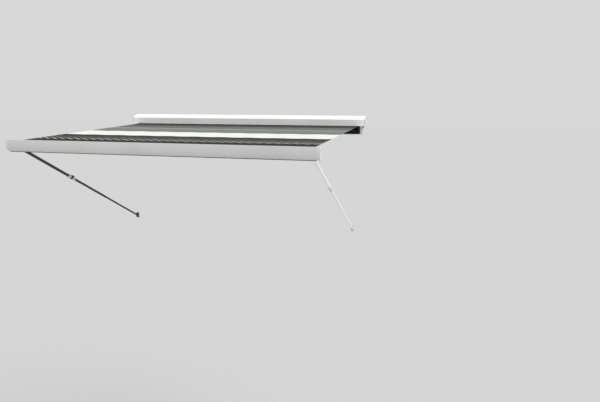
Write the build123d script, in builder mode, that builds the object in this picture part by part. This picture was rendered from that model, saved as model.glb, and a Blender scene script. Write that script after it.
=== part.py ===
from build123d import *
import math
import os

# Roll out awning for a van side: a wall case with the cloth roller, two folding
# spring arms, a lead rail and two telescopic legs hooked to pads on the wall.
# Millimetres. X runs along the case, +Z is up, the wall is the plane Y = 0 and
# the cloth rolls out towards -Y. The origin is the middle of the case's back.

# Driving dimensions of the whole awning
case_length = 3300.0
case_depth = 150.0
case_drop = 115.0
hood_rise = 120.0
lip_height = -5.0
reach = 2500.0
rail_height = 118.0
rail_inset = 10.0
pitch_angle = 3.0
open_angle = 84.0
cloth_height = -3.5
cloth_left_inset = 20.0
cloth_right_inset = 20.0
wrist_setback = 103.0

# Clearances and overrun
seat_gap = 0.3
bore_gap = 0.05
fixed_gap = 0.02
overrun = 20.0

# Case values
wall_bracket_thickness = 6.0
back_wall = 3.0
hood_wall = 2.5
cheek_thickness = 30.0
cap_plate = 12.0
case_end = case_length / 2
hood_end = case_end - cap_plate
winch_bay = 28.0
cheek_outer = hood_end - winch_bay
cheek_inner = cheek_outer - cheek_thickness
cheek_depth = 104.0
cloth_left = cloth_left_inset - cheek_inner
cloth_right = cheek_inner - cloth_right_inset

# Arm section and the plane in which the arms fold, parallel to the cloth
arm_width = 34.0
arm_height = 36.0
arm_wall = 2.5
arm_corner = 5.0
fold_space = 8.0
arm_drop = 12.0
arm_level = -(arm_drop + arm_height / 2)
elbow_offset = (arm_width + fold_space) / 2
shoulder_depth = 38.0
arm_inset = 70.0
arm_middle = (cloth_left + cloth_right) / 2
left_arm = cloth_left + arm_inset

# Arm length, so that the open wrists stand a set distance behind the rail's front
pitch = math.radians(pitch_angle)
open_turn = math.radians(open_angle)
wrist_reach = (reach - wrist_setback - arm_level * math.sin(pitch)) / math.cos(pitch)
arm_reach = (wrist_reach - shoulder_depth) / 2
pivot_span = arm_reach / math.sin(open_turn)
arm_length = math.sqrt(pivot_span**2 - elbow_offset**2)
skew = math.degrees(math.atan2(elbow_offset, arm_length))
travel = 2 * (arm_reach - elbow_offset)
rise = travel * math.sin(pitch)

# Rail place, from the height of its top when it is shut in front of the hood's lip
rail_shut_top = 4.5
rail_front = -reach
rail_top = rail_shut_top - rise
rail_bottom = rail_top - rail_height
rail_end = case_end - rail_inset

# Cloth
cloth_thickness = 1.0
roll_radius = 40.0
roll_depth = 62.0


def slope_point(x, inward, up):
    """A point given along the case, inward along the cloth and up from it."""
    return Vector(
        x,
        inward * math.cos(pitch) - up * math.sin(pitch),
        cloth_height + inward * math.sin(pitch) + up * math.cos(pitch),
    )


slope_up = Vector(0, -math.sin(pitch), math.cos(pitch))
slope_in = Vector(0, math.cos(pitch), math.sin(pitch))
side_signs = {"left": -1, "right": 1}


def keep(builder, name):
    """Label a finished piece and write it."""
    builder.part.label = name
    export_step(builder.part, f"parts/{name}.step")


arm_mirror = Plane.YZ.offset(arm_middle)


def keep_pair(builder, name):
    """Write a left piece and its mirror image about the middle of the cloth."""
    keep(builder, f"{name}_left")
    with BuildPart() as twin:
        add(mirror(builder.part, about=arm_mirror, mode=Mode.PRIVATE))
    keep(twin, f"{name}_right")


# Wall brackets: three flat plates that are screwed to the wall and carry the back profile
bracket_inset = 500.0
bracket_spread = case_end - bracket_inset
bracket_width = 140.0
bracket_half_height = 88.0
wall_hole_radius = 4.25
wall_hole_rise = 60.0
bracket_corner = 8.0

with BuildPart() as wall_brackets:
    with BuildSketch(Plane.XZ):
        with Locations((-bracket_spread, 0), (0, 0), (bracket_spread, 0)):
            RectangleRounded(bracket_width, 2 * bracket_half_height, bracket_corner)
        with Locations((-bracket_spread, 0), (0, 0), (bracket_spread, 0)):
            with Locations((0, wall_hole_rise), (0, -wall_hole_rise)):
                Circle(wall_hole_radius, mode=Mode.SUBTRACT)
    extrude(amount=wall_bracket_thickness)
keep(wall_brackets, "wall_brackets")

# Back profile: the wall web with two cradles and a screw port at its top
back_front = -(wall_bracket_thickness + back_wall)
web_top = 98.0
cradle_depth = 12.0
cradle_height = 62.0
screw_port_radius = 5.5
screw_port_hole = 2.4
back_length = 2 * (cheek_inner - seat_gap)

with BuildPart() as back_profile:
    with BuildSketch(Plane.YZ):
        with Locations((-wall_bracket_thickness, -case_drop)):
            Rectangle(back_wall, case_drop + web_top, align=(Align.MAX, Align.MIN))
        with Locations((back_front, web_top), (back_front, cradle_height)):
            Rectangle(cradle_depth, back_wall, align=(Align.MAX, Align.MAX))
        with Locations((back_front - cradle_depth, web_top - back_wall / 2)):
            Circle(screw_port_radius)
            Circle(screw_port_hole, mode=Mode.SUBTRACT)
    extrude(amount=back_length / 2, both=True)
keep(back_profile, "back_profile")

# Case floor: a flat extrusion that stands against the web's foot, with a hook along its front
floor_depth = 98.0
floor_wall = 2.5
floor_hook = 7.0

with BuildPart() as case_floor:
    with BuildSketch(Plane.YZ):
        with Locations((-floor_depth, -case_drop)):
            Rectangle(
                floor_depth + back_front - seat_gap, floor_wall, align=(Align.MIN, Align.MIN)
            )
            Rectangle(floor_wall, floor_hook, align=(Align.MIN, Align.MIN))
    extrude(amount=back_length / 2, both=True)
keep(case_floor, "case_floor")

# Hood: the curved outer extrusion, open to the wall behind and to the mouth below
hood_back = wall_bracket_thickness
hood_shelf = 62.0
band_top = 74.0
hood_top_fall = 4.0
lip_return = 9.0


def hood_outline():
    """The hood's outer line, drawn in the plane of Y and Z."""
    with BuildLine() as outline:
        shelf = Line((-hood_back, hood_rise), (-hood_shelf, hood_rise - hood_top_fall))
        TangentArc(
            [shelf @ 1, (-case_depth, band_top)], tangent=shelf % 1
        )
        Line((-case_depth, band_top), (-case_depth, lip_height))
        Line((-case_depth, lip_height), (-hood_back, lip_height))
        Line((-hood_back, lip_height), (-hood_back, hood_rise))
    return outline.line


with BuildPart() as hood:
    with BuildSketch(Plane.YZ):
        make_face(hood_outline())
        with BuildSketch(mode=Mode.SUBTRACT):
            make_face(hood_outline())
            offset(amount=-hood_wall, kind=Kind.INTERSECTION, mode=Mode.REPLACE)
        with Locations((0, lip_height)):
            Rectangle(
                case_depth - lip_return,
                hood_wall + overrun,
                align=(Align.MAX, Align.CENTER),
                mode=Mode.SUBTRACT,
            )
        with Locations((-hood_back - hood_wall / 2, lip_height)):
            Rectangle(
                hood_wall + overrun,
                hood_rise - lip_height - hood_wall,
                align=(Align.CENTER, Align.MIN),
                mode=Mode.SUBTRACT,
            )
    extrude(amount=hood_end - seat_gap, both=True)
keep(hood, "hood")

# Roller place: the roll lies on the cloth's line, which leaves it from below
roll_lift = cloth_thickness / 2 + seat_gap + roll_radius
roller_centre = slope_point(0, -roll_depth, roll_lift)
roller_bore_radius = 18.0

# End caps: a cheek that closes the case and an outer plate over the hood's end
cheek_round = 14.0
link_bottom = 66.0
link_top = 102.0
link_front = 96.0
link_back = 14.0
cap_round = 5.0
cap_screw_radius = 2.2
cap_screw_places = ((-30.0, 96.0), (-84.0, 92.0), (-128.0, 30.0))
cheek_screw_depth = 16.0


def end_cap(side):
    """One end cap, with its cheek, its outer plate and the link between them."""
    sign = side_signs[side]
    inner_face = Plane.YZ.offset(sign * cheek_inner)
    outer_face = Plane.YZ.offset(sign * cheek_outer)
    plate_face = Plane.YZ.offset(sign * hood_end)
    with BuildPart() as cap:
        with BuildSketch(inner_face):
            make_face(hood_outline())
            offset(amount=-(hood_wall + seat_gap), kind=Kind.INTERSECTION, mode=Mode.REPLACE)
            with Locations((-wall_bracket_thickness, -case_drop)):
                Rectangle(
                    cheek_depth - wall_bracket_thickness,
                    case_drop + lip_height + overrun,
                    align=(Align.MAX, Align.MIN),
                )
            Rectangle(
                2 * wall_bracket_thickness,
                2 * hood_rise,
                align=(Align.CENTER, Align.CENTER),
                mode=Mode.SUBTRACT,
            )
        extrude(amount=sign * cheek_thickness)
        fillet(
            cap.edges().filter_by(Axis.X).group_by(Axis.Z)[0].sort_by(Axis.Y)[0], cheek_round
        )
        with BuildSketch(outer_face):
            with Locations((-link_back, link_bottom)):
                Rectangle(
                    link_front - link_back,
                    link_top - link_bottom,
                    align=(Align.MAX, Align.MIN),
                )
        extrude(amount=sign * winch_bay)
        with BuildSketch(plate_face):
            make_face(hood_outline())
        extrude(amount=sign * cap_plate)
        fillet(
            cap.faces().sort_by(Axis.X)[0 if sign < 0 else -1].edges(), cap_round
        )
        with BuildSketch(inner_face):
            with Locations((roller_centre.Y, roller_centre.Z)):
                Circle(roller_bore_radius)
        extrude(amount=sign * cheek_thickness, mode=Mode.SUBTRACT)
        with BuildSketch(Plane.YZ.offset(sign * case_end)):
            with Locations(*cap_screw_places):
                Circle(cap_screw_radius)
        extrude(amount=-sign * cheek_screw_depth, mode=Mode.SUBTRACT)
    keep(cap, f"end_cap_{side}")


for side in side_signs:
    end_cap(side)

# Case screws: pan heads on the outer plates
screw_head_radius = 4.6
screw_head_height = 2.6
screw_head_round = 1.2
screw_socket = 2.6
socket_depth = 1.4


def screw_group(places, face_place, shank_radius, shank_length):
    """Pan head screws standing out of both ends at the given places."""
    with BuildPart() as screws:
        for sign in side_signs.values():
            with BuildSketch(Plane.YZ.offset(sign * face_place)):
                with Locations(*places):
                    Circle(screw_head_radius)
            extrude(amount=sign * screw_head_height)
        fillet(
            screws.edges().filter_by(GeomType.CIRCLE).group_by(Axis.X)[0]
            + screws.edges().filter_by(GeomType.CIRCLE).group_by(Axis.X)[-1],
            screw_head_round,
        )
        for sign in side_signs.values():
            with BuildSketch(Plane.YZ.offset(sign * (face_place + screw_head_height))):
                with Locations(*places):
                    RegularPolygon(screw_socket, side_count=6)
            extrude(amount=-sign * socket_depth, mode=Mode.SUBTRACT)
            with BuildSketch(Plane.YZ.offset(sign * face_place)):
                with Locations(*places):
                    Circle(shank_radius - fixed_gap)
            extrude(amount=-sign * shank_length)
    return screws


case_shank = cheek_screw_depth - seat_gap
case_screws = screw_group(cap_screw_places, case_end, cap_screw_radius, case_shank)
keep(case_screws, "case_screws")

# Roller bearings: a bush in each cheek
bush_bore = 10.0
bush_flange_radius = 22.0
bush_flange = 1.6

with BuildPart() as roller_bearings:
    for sign in side_signs.values():
        with BuildSketch(Plane.YZ.offset(sign * cheek_inner)):
            with Locations((roller_centre.Y, roller_centre.Z)):
                Circle(roller_bore_radius - fixed_gap)
        extrude(amount=sign * (cheek_thickness - seat_gap))
        with BuildSketch(Plane.YZ.offset(sign * cheek_inner)):
            with Locations((roller_centre.Y, roller_centre.Z)):
                Circle(bush_flange_radius)
        extrude(amount=-sign * bush_flange)
    with BuildSketch(Plane.YZ):
        with Locations((roller_centre.Y, roller_centre.Z)):
            Circle(bush_bore + bore_gap)
    extrude(amount=case_length, both=True, mode=Mode.SUBTRACT)
keep(roller_bearings, "roller_bearings")

# Roller: an aluminium tube with a cloth groove, closed by a plug on the left
roll_build = 1.3
tube_radius = roll_radius - roll_build
tube_wall = 1.8
tube_gap = 4.0
tube_half = cheek_inner - tube_gap
groove_radius = 4.0

with BuildPart() as roller_tube:
    with BuildSketch(Plane.YZ):
        with Locations((roller_centre.Y, roller_centre.Z)):
            Circle(tube_radius)
            Circle(tube_radius - tube_wall, mode=Mode.SUBTRACT)
        with Locations((roller_centre.Y, roller_centre.Z + tube_radius - groove_radius - tube_wall)):
            Circle(groove_radius + tube_wall)
            Circle(groove_radius, mode=Mode.SUBTRACT)
    extrude(amount=tube_half, both=True)
keep(roller_tube, "roller_tube")

plug_depth = 34.0
plug_radius = tube_radius - 2 * groove_radius - 2 * tube_wall - tube_wall
journal_reach = 26.0
flange_thickness = 2.0


def roller_end(sign, journal_length):
    """A plug in the roller's end with a flange and a journal, along the roller's axis."""
    with BuildPart() as plug:
        for radius, start, length in (
            (plug_radius, tube_half - plug_depth, plug_depth),
            (tube_radius, tube_half + fixed_gap, flange_thickness - fixed_gap),
            (bush_bore, tube_half, journal_length),
        ):
            with BuildSketch(Plane.YZ.offset(sign * start)):
                with Locations((roller_centre.Y, roller_centre.Z)):
                    Circle(radius)
            extrude(amount=sign * length)
    return plug.part


with BuildPart() as roller_plug:
    add(roller_end(-1, journal_reach))
keep(roller_plug, "roller_plug")

# Worm wheel: on the roller's right journal, outside the cheek
wheel_radius = 24.0
wheel_width = 12.0
wheel_teeth = 24
tooth_depth = 2.2
tooth_share = 0.5
wheel_gap = 7.0
wheel_middle = cheek_outer + wheel_gap + wheel_width / 2
right_journal = cheek_outer + wheel_gap + wheel_width - tube_half
tooth_width = tooth_share * 2 * math.pi * wheel_radius / wheel_teeth

with BuildPart() as worm_wheel:
    add(roller_end(1, right_journal))
    with BuildSketch(Plane.YZ.offset(wheel_middle)):
        with Locations((roller_centre.Y, roller_centre.Z)):
            Circle(wheel_radius)
            with PolarLocations(wheel_radius, wheel_teeth):
                Rectangle(2 * tooth_depth, tooth_width, mode=Mode.SUBTRACT)
    extrude(amount=wheel_width / 2, both=True)
keep(worm_wheel, "worm_wheel")

# Cloth roll: the turns that stay on the roller when the cloth is out
with BuildPart() as fabric_roll:
    with BuildSketch(Plane.YZ.offset(cloth_left)):
        with Locations((roller_centre.Y, roller_centre.Z)):
            Circle(roll_radius)
            Circle(tube_radius + fixed_gap, mode=Mode.SUBTRACT)
    extrude(amount=cloth_right - cloth_left)
keep(fabric_roll, "fabric_roll")

# Winch: a housing outside the right cheek, and the worm with its crank eye
worm_radius = 8.0
worm_gap = 0.5
worm_depth = roller_centre.Y - (wheel_radius + worm_radius + worm_gap)
worm_core = 6.0
worm_half = 16.0
thread_count = 7
thread_share = 0.5
shaft_radius = 4.5
eye_drop = 21.0
eye_radius = 11.0
eye_hole = 6.5
eye_thickness = 9.0
housing_clear = 1.5
housing_wall = 3.0
housing_bottom = -4.0
housing_back = -34.0
housing_front = -120.0
housing_top = 62.0
worm_top = roller_centre.Z + worm_half + worm_core
shaft_top = housing_top - housing_wall / 2

with BuildPart() as winch_housing:
    with BuildSketch(Plane.YZ.offset(cheek_outer + seat_gap)):
        with Locations((housing_front, housing_bottom)):
            Rectangle(
                housing_back - housing_front,
                housing_top - housing_bottom,
                align=(Align.MIN, Align.MIN),
            )
    extrude(amount=winch_bay - 2 * seat_gap)
    fillet(winch_housing.edges().filter_by(Axis.X), housing_wall)
    with BuildSketch(Plane.YZ.offset(cheek_outer)):
        with Locations((roller_centre.Y, roller_centre.Z)):
            Circle(wheel_radius + housing_clear)
    extrude(amount=winch_bay - housing_wall, mode=Mode.SUBTRACT)
    worm_floor = housing_bottom + housing_wall
    with BuildSketch(Plane.XY.offset(worm_floor)):
        with Locations((wheel_middle, worm_depth)):
            Circle(worm_radius + housing_clear)
    extrude(amount=worm_top + housing_clear - worm_floor, mode=Mode.SUBTRACT)
    with BuildSketch(Plane.XY.offset(housing_bottom)):
        with Locations((wheel_middle, worm_depth)):
            Circle(shaft_radius + bore_gap)
    extrude(amount=shaft_top - housing_bottom, mode=Mode.SUBTRACT)
keep(winch_housing, "winch_housing")

with BuildPart() as worm_shaft:
    with BuildSketch(Plane.XY.offset(roller_centre.Z - worm_half)):
        with Locations((wheel_middle, worm_depth)):
            Circle(worm_core)
    extrude(amount=2 * worm_half)
    for turn in range(thread_count):
        thread_pitch = 2 * worm_half / thread_count
        turn_start = roller_centre.Z - worm_half + turn * thread_pitch
        with BuildSketch(Plane.XY.offset(turn_start)):
            with Locations((wheel_middle, worm_depth)):
                Circle(worm_radius)
        extrude(amount=thread_pitch * thread_share)
    with BuildSketch(Plane.XY.offset(-eye_drop)):
        with Locations((wheel_middle, worm_depth)):
            Circle(shaft_radius)
    extrude(amount=shaft_top - seat_gap + eye_drop)
    with BuildSketch(Plane.YZ.offset(wheel_middle)):
        with Locations((worm_depth, -eye_drop)):
            Circle(eye_radius)
    extrude(amount=eye_thickness / 2, both=True)
    with BuildSketch(Plane.YZ.offset(wheel_middle)):
        with Locations((worm_depth, -eye_drop)):
            Circle(eye_hole)
    extrude(amount=eye_thickness, both=True, mode=Mode.SUBTRACT)
keep(worm_shaft, "worm_shaft")

# Lead rail section: a curved front, a short bottom flange, a top lip and a bead channel.
# It is drawn back from the front face and up from the bottom edge.
rail_wall = 3.0
front_foot = 26.0
front_foot_back = 5.0
bottom_back = 30.0
flange_back = 38.0
top_lip = 22.0
top_set = 2.0
bow_share = 0.6
waist_share = 0.45
waist = waist_share * rail_height
cap_length = 30.0
channel_back = 24.0
channel_radius = 4.0
channel_wall = 2.2
slit_height = 2.4
bead_radius = 3.4
channel_inward = (rail_front + channel_back) / math.cos(pitch)
channel_centre = slope_point(0, channel_inward, 0)
rib_back = 9.0
rib_places = (43.0, 57.0, 70.0, 86.0)


def rail_outline(back, foot_back):
    """The rail's outer line with its depth at the top and at the bottom, in the plane of Y and Z."""
    with BuildLine() as outline:
        top_front = (rail_front + top_set, rail_top)
        middle = (rail_front, rail_bottom + bow_share * rail_height)
        foot = (rail_front + front_foot_back, rail_bottom + front_foot)
        bottom = (rail_front + bottom_back, rail_bottom)
        face = ThreePointArc(top_front, middle, foot)
        TangentArc([face @ 1, bottom], tangent=face % 1)
        Line(bottom, (rail_front + foot_back, rail_bottom))
        Line((rail_front + foot_back, rail_bottom), (rail_front + back, rail_bottom + waist))
        Line((rail_front + back, rail_bottom + waist), (rail_front + back, rail_top))
        Line((rail_front + back, rail_top), top_front)
    return outline.line


with BuildPart() as lead_rail:
    with BuildSketch(Plane.YZ):
        make_face(rail_outline(flange_back, flange_back))
        with BuildSketch(mode=Mode.SUBTRACT):
            make_face(rail_outline(flange_back, flange_back))
            offset(amount=-rail_wall, kind=Kind.INTERSECTION, mode=Mode.REPLACE)
        with Locations((rail_front + flange_back, (rail_bottom + rail_top) / 2)):
            Rectangle(
                2 * rail_wall,
                rail_height - 2 * rail_wall,
                mode=Mode.SUBTRACT,
            )
        with Locations((rail_front + flange_back, rail_top)):
            Rectangle(
                flange_back - top_lip,
                2 * rail_wall,
                align=(Align.MAX, Align.CENTER),
                mode=Mode.SUBTRACT,
            )
        with Locations((channel_centre.Y, channel_centre.Z)):
            Rectangle(
                channel_back - rail_wall / 2,
                2 * channel_wall,
                align=(Align.MAX, Align.CENTER),
            )
            Circle(channel_radius + channel_wall)
            Circle(channel_radius, mode=Mode.SUBTRACT)
            Rectangle(
                2 * channel_radius + channel_wall,
                slit_height,
                align=(Align.MIN, Align.CENTER),
                mode=Mode.SUBTRACT,
            )
        for rib_place in rib_places:
            with Locations((rail_front + rib_back, rail_bottom + rib_place)):
                Rectangle(
                    rib_back - rail_wall / 2, rail_wall, align=(Align.MAX, Align.CENTER)
                )
    extrude(amount=rail_end - cap_length - seat_gap, both=True)
keep(lead_rail, "lead_rail")

# Rail end caps: moulded blocks, deeper at the foot, with a rounded lower corner on the left
cap_back = 26.0
cap_foot_back = 104.0
cap_corners = {"left": 26.0, "right": 3.0}
cap_edge = 2.5
cap_rim = 1.0
cap_screw_set = ((16.0, 84.0), (30.0, 30.0))
rail_screw_radius = 2.2
rail_screw_depth = 14.0
rail_screw_places = [
    (rail_front + back, rail_bottom + up) for back, up in cap_screw_set
]


def rail_cap(side):
    """One end cap of the lead rail."""
    sign = side_signs[side]
    with BuildPart() as cap:
        with BuildSketch(Plane.YZ.offset(sign * (rail_end - cap_length))):
            make_face(rail_outline(cap_back, flange_back))
        extrude(amount=sign * cap_rim)
        with BuildSketch(Plane.YZ.offset(sign * (rail_end - cap_length + cap_rim))):
            make_face(rail_outline(cap_back, cap_foot_back))
        extrude(amount=sign * (cap_length - cap_rim))
        outer = cap.faces().sort_by(Axis.X)[0 if sign < 0 else -1]
        fillet(outer.edges().group_by(Axis.Z)[0], cap_corners[side])
        outer = cap.faces().sort_by(Axis.X)[0 if sign < 0 else -1]
        fillet(outer.edges().group_by(Axis.Z)[-1], cap_edge)
        with BuildSketch(Plane.YZ.offset(sign * rail_end)):
            with Locations(*rail_screw_places):
                Circle(rail_screw_radius)
        extrude(amount=-sign * rail_screw_depth, mode=Mode.SUBTRACT)
    keep(cap, f"rail_cap_{side}")


for side in side_signs:
    rail_cap(side)

rail_shank = rail_screw_depth - seat_gap
rail_screws = screw_group(rail_screw_places, rail_end, rail_screw_radius, rail_shank)
keep(rail_screws, "rail_screws")

# Front bead and the cloth between the roll and the bead
with BuildPart() as fabric_bead:
    with BuildSketch(Plane.YZ.offset(cloth_left)):
        with Locations((channel_centre.Y, channel_centre.Z)):
            Circle(bead_radius)
    extrude(amount=cloth_right - cloth_left)
keep(fabric_bead, "fabric_bead")

cloth_start = -roll_depth
cloth_end = channel_inward + bead_radius + seat_gap

with BuildPart() as fabric_sheet:
    with BuildSketch(Plane(origin=slope_point(0, 0, 0), x_dir=(1, 0, 0), z_dir=slope_up)):
        with Locations((cloth_left, cloth_start)):
            Rectangle(
                cloth_right - cloth_left,
                cloth_start - cloth_end,
                align=(Align.MIN, Align.MAX),
            )
    extrude(amount=cloth_thickness / 2, both=True)
keep(fabric_sheet, "fabric_sheet")

# Arm joints on the left side, in the arm plane
shoulder = slope_point(left_arm, -shoulder_depth, arm_level)
elbow = slope_point(
    left_arm + pivot_span * math.cos(open_turn), -shoulder_depth - arm_reach, arm_level
)
wrist = slope_point(left_arm, -shoulder_depth - 2 * arm_reach, arm_level)
tube_turn = open_turn - math.radians(skew)
upper_axis = Vector(math.cos(tube_turn), 0, 0) - slope_in * math.sin(tube_turn)
fore_axis = Vector(math.cos(tube_turn), 0, 0) + slope_in * math.sin(tube_turn)
upper_plane = Plane(origin=shoulder, x_dir=upper_axis, z_dir=slope_up)
fore_plane = Plane(origin=wrist, x_dir=fore_axis, z_dir=slope_up)
shoulder_plane = Plane(origin=shoulder, x_dir=(1, 0, 0), z_dir=slope_up)
wrist_plane = Plane(origin=wrist, x_dir=(1, 0, 0), z_dir=slope_up)

# Shared sizes of the forks, tongues and pins
ear_radius = 17.0
tongue_height = 18.0
pin_radius = 8.0
pin_head_radius = 10.0
pin_head = 1.6
neck_start = 24.0
tube_start = 45.0
spigot_end = 78.0
ear_gap = seat_gap
elbow_reach = 46.0
spigot_corner = 2.5
ear_height = (arm_height - tongue_height) / 2 - ear_gap

# Shoulder brackets: two ears on a foot that is screwed to the back web
foot_height = 58.0
foot_thickness = 6.0
foot_width = 92.0
foot_round = 8.0
foot_hole_radius = 4.0
foot_hole_spread = 34.0
foot_front = back_front - seat_gap

with BuildPart() as shoulder_brackets:
    with BuildSketch(shoulder_plane):
        Circle(ear_radius)
        Rectangle(2 * ear_radius, shoulder_depth, align=(Align.CENTER, Align.MIN))
    extrude(amount=arm_height / 2, both=True)
    split(bisect_by=Plane.XZ.offset(-foot_front), keep=Keep.TOP)
    with BuildSketch(shoulder_plane):
        Circle(neck_start + seat_gap)
    extrude(amount=tongue_height / 2 + ear_gap, both=True, mode=Mode.SUBTRACT)
    with BuildSketch(Plane.XZ.offset(-foot_front)):
        with Locations((left_arm, shoulder.Z)):
            RectangleRounded(foot_width, foot_height, foot_round)
            with Locations((-foot_hole_spread, 0), (foot_hole_spread, 0)):
                Circle(foot_hole_radius, mode=Mode.SUBTRACT)
    extrude(amount=foot_thickness)
    with BuildSketch(shoulder_plane):
        Circle(pin_radius + fixed_gap)
    extrude(amount=arm_height, both=True, mode=Mode.SUBTRACT)
    mirror(about=arm_mirror)
keep(shoulder_brackets, "shoulder_brackets")


def headed_pin(plane):
    """A plain pin with a low head above and below the ears."""
    with BuildPart() as pin:
        with BuildSketch(plane):
            Circle(pin_radius)
        extrude(amount=arm_height / 2 + pin_head, both=True)
        with BuildSketch(plane.offset(arm_height / 2 + fixed_gap)):
            Circle(pin_head_radius)
        extrude(amount=pin_head - fixed_gap)
        with BuildSketch(plane.offset(-arm_height / 2 - fixed_gap)):
            Circle(pin_head_radius)
        extrude(amount=fixed_gap - pin_head)
    return pin.part


with BuildPart() as shoulder_pins:
    add(headed_pin(shoulder_plane))
    mirror(about=arm_mirror)
keep(shoulder_pins, "shoulder_pins")

with BuildPart() as wrist_pins:
    add(headed_pin(wrist_plane))
    mirror(about=arm_mirror)
keep(wrist_pins, "wrist_pins")

with BuildPart() as elbow_pin:
    add(headed_pin(Plane(origin=elbow, x_dir=(1, 0, 0), z_dir=slope_up)))
keep_pair(elbow_pin, "elbow_pin")


def arm_tube(plane):
    """The arm's rounded box tube between its two castings."""
    section = Plane(
        origin=plane.from_local_coords(Vector(tube_start, 0, 0)),
        x_dir=plane.y_dir,
        z_dir=plane.x_dir,
    )
    with BuildPart() as tube:
        with BuildSketch(section):
            RectangleRounded(arm_width, arm_height, arm_corner)
            RectangleRounded(
                arm_width - 2 * arm_wall,
                arm_height - 2 * arm_wall,
                arm_corner - arm_wall,
                mode=Mode.SUBTRACT,
            )
        extrude(amount=arm_length - elbow_reach - tube_start)
    return tube.part


def spigot(plane, start, end):
    """The part of a casting that is pushed into the arm tube."""
    section = Plane(
        origin=plane.from_local_coords(Vector(start, 0, 0)),
        x_dir=plane.y_dir,
        z_dir=plane.x_dir,
    )
    with BuildPart() as plug:
        with BuildSketch(section):
            RectangleRounded(
                arm_width - 2 * arm_wall - 2 * fixed_gap,
                arm_height - 2 * arm_wall - 2 * fixed_gap,
                spigot_corner,
            )
        extrude(amount=end - start)
    return plug.part


def root_casting(plane):
    """The casting at the shoulder or wrist end: a tongue, a neck and a spigot."""
    with BuildPart() as casting:
        with BuildSketch(plane):
            Circle(ear_radius)
            Rectangle(tube_start - ear_gap, 2 * ear_radius, align=(Align.MIN, Align.CENTER))
        extrude(amount=tongue_height / 2, both=True)
        with BuildSketch(plane):
            with Locations((neck_start + ear_gap, 0)):
                Rectangle(
                    tube_start - neck_start - 2 * ear_gap,
                    arm_width,
                    align=(Align.MIN, Align.CENTER),
                )
        extrude(amount=arm_height / 2, both=True)
        add(spigot(plane, tube_start - ear_gap, spigot_end))
        with BuildSketch(plane):
            Circle(pin_radius + bore_gap)
        extrude(amount=arm_height, both=True, mode=Mode.SUBTRACT)
    return casting.part


tip_start = arm_length - elbow_reach
tip_spigot = tip_start - (spigot_end - tube_start)


def tip_line(offset_side):
    """The outline that joins the tube's end to the elbow's pivot."""
    half = arm_width / 2
    with BuildSketch() as tip:
        with Locations((arm_length, offset_side * elbow_offset)):
            Circle(ear_radius)
        with Locations((tip_start, 0)):
            Rectangle(arm_corner, arm_width, align=(Align.MIN, Align.CENTER))
        make_hull()
    return tip.sketch


with BuildPart() as upper_tube:
    add(arm_tube(upper_plane))
keep_pair(upper_tube, "upper_arm_tube")

with BuildPart() as fore_tube:
    add(arm_tube(fore_plane))
keep_pair(fore_tube, "forearm_tube")

with BuildPart() as shoulder_knuckle:
    add(root_casting(upper_plane))
keep_pair(shoulder_knuckle, "shoulder_knuckle")

with BuildPart() as wrist_knuckle:
    add(root_casting(fore_plane))
keep_pair(wrist_knuckle, "wrist_knuckle")

# Elbow: a fork on the upper arm and a tongue on the forearm, with the cable's groove
cable_radius = 3.0
cable_track = 13.0

with BuildPart() as elbow_fork:
    with BuildSketch(upper_plane):
        add(tip_line(-1))
    extrude(amount=arm_height / 2, both=True)
    with BuildSketch(upper_plane):
        with Locations((tip_start + arm_corner, -2 * arm_width)):
            Rectangle(2 * elbow_reach, 4 * arm_width, align=(Align.MIN, Align.MIN))
    extrude(amount=tongue_height / 2 + ear_gap, both=True, mode=Mode.SUBTRACT)
    add(spigot(upper_plane, tip_spigot, tip_start))
    with BuildSketch(Plane(origin=elbow, x_dir=(1, 0, 0), z_dir=slope_up)):
        Circle(pin_radius + fixed_gap)
    extrude(amount=arm_height, both=True, mode=Mode.SUBTRACT)
keep_pair(elbow_fork, "elbow_fork")

elbow_plane = Plane(origin=elbow, x_dir=fore_axis, z_dir=slope_up)

with BuildPart() as elbow_tongue:
    with BuildSketch(fore_plane):
        add(tip_line(1))
    extrude(amount=tongue_height / 2, both=True)
    with BuildSketch(fore_plane):
        with Locations((tip_start, 0)):
            Rectangle(arm_corner, arm_width, align=(Align.MIN, Align.CENTER))
    extrude(amount=arm_height / 2, both=True)
    add(spigot(fore_plane, tip_spigot, tip_start))
    with BuildSketch(elbow_plane):
        Circle(pin_radius + bore_gap)
    extrude(amount=arm_height, both=True, mode=Mode.SUBTRACT)
    with BuildSketch(elbow_plane):
        Circle(2 * ear_radius)
        Circle(cable_track - cable_radius, mode=Mode.SUBTRACT)
        with Locations((-arm_width, 0)):
            Rectangle(2 * arm_width, 4 * arm_width, mode=Mode.SUBTRACT)
    extrude(amount=cable_radius + fixed_gap, both=True, mode=Mode.SUBTRACT)
keep_pair(elbow_tongue, "elbow_tongue")

with BuildPart() as elbow_cable:
    with BuildSketch(elbow_plane):
        Circle(cable_track + cable_radius)
        Circle(cable_track - cable_radius + fixed_gap, mode=Mode.SUBTRACT)
        with Locations((-arm_width + seat_gap, 0)):
            Rectangle(2 * arm_width, 4 * arm_width, mode=Mode.SUBTRACT)
    extrude(amount=cable_radius, both=True)
    fillet(elbow_cable.edges().filter_by(GeomType.CIRCLE).group_by(SortBy.RADIUS)[-1], cable_radius / 2)
keep_pair(elbow_cable, "elbow_cable")

# Arm spring: a closed wound spring on two rods inside the upper arm
spring_radius = 9.0
spring_bore = 6.0
rod_radius = 3.0
spring_start_share = 0.19
spring_share = 0.61
spring_cap = 6.0
rod_length = tip_spigot - spigot_end - 2 * seat_gap
spring_start = spring_start_share * rod_length
spring_length = spring_share * rod_length

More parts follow.
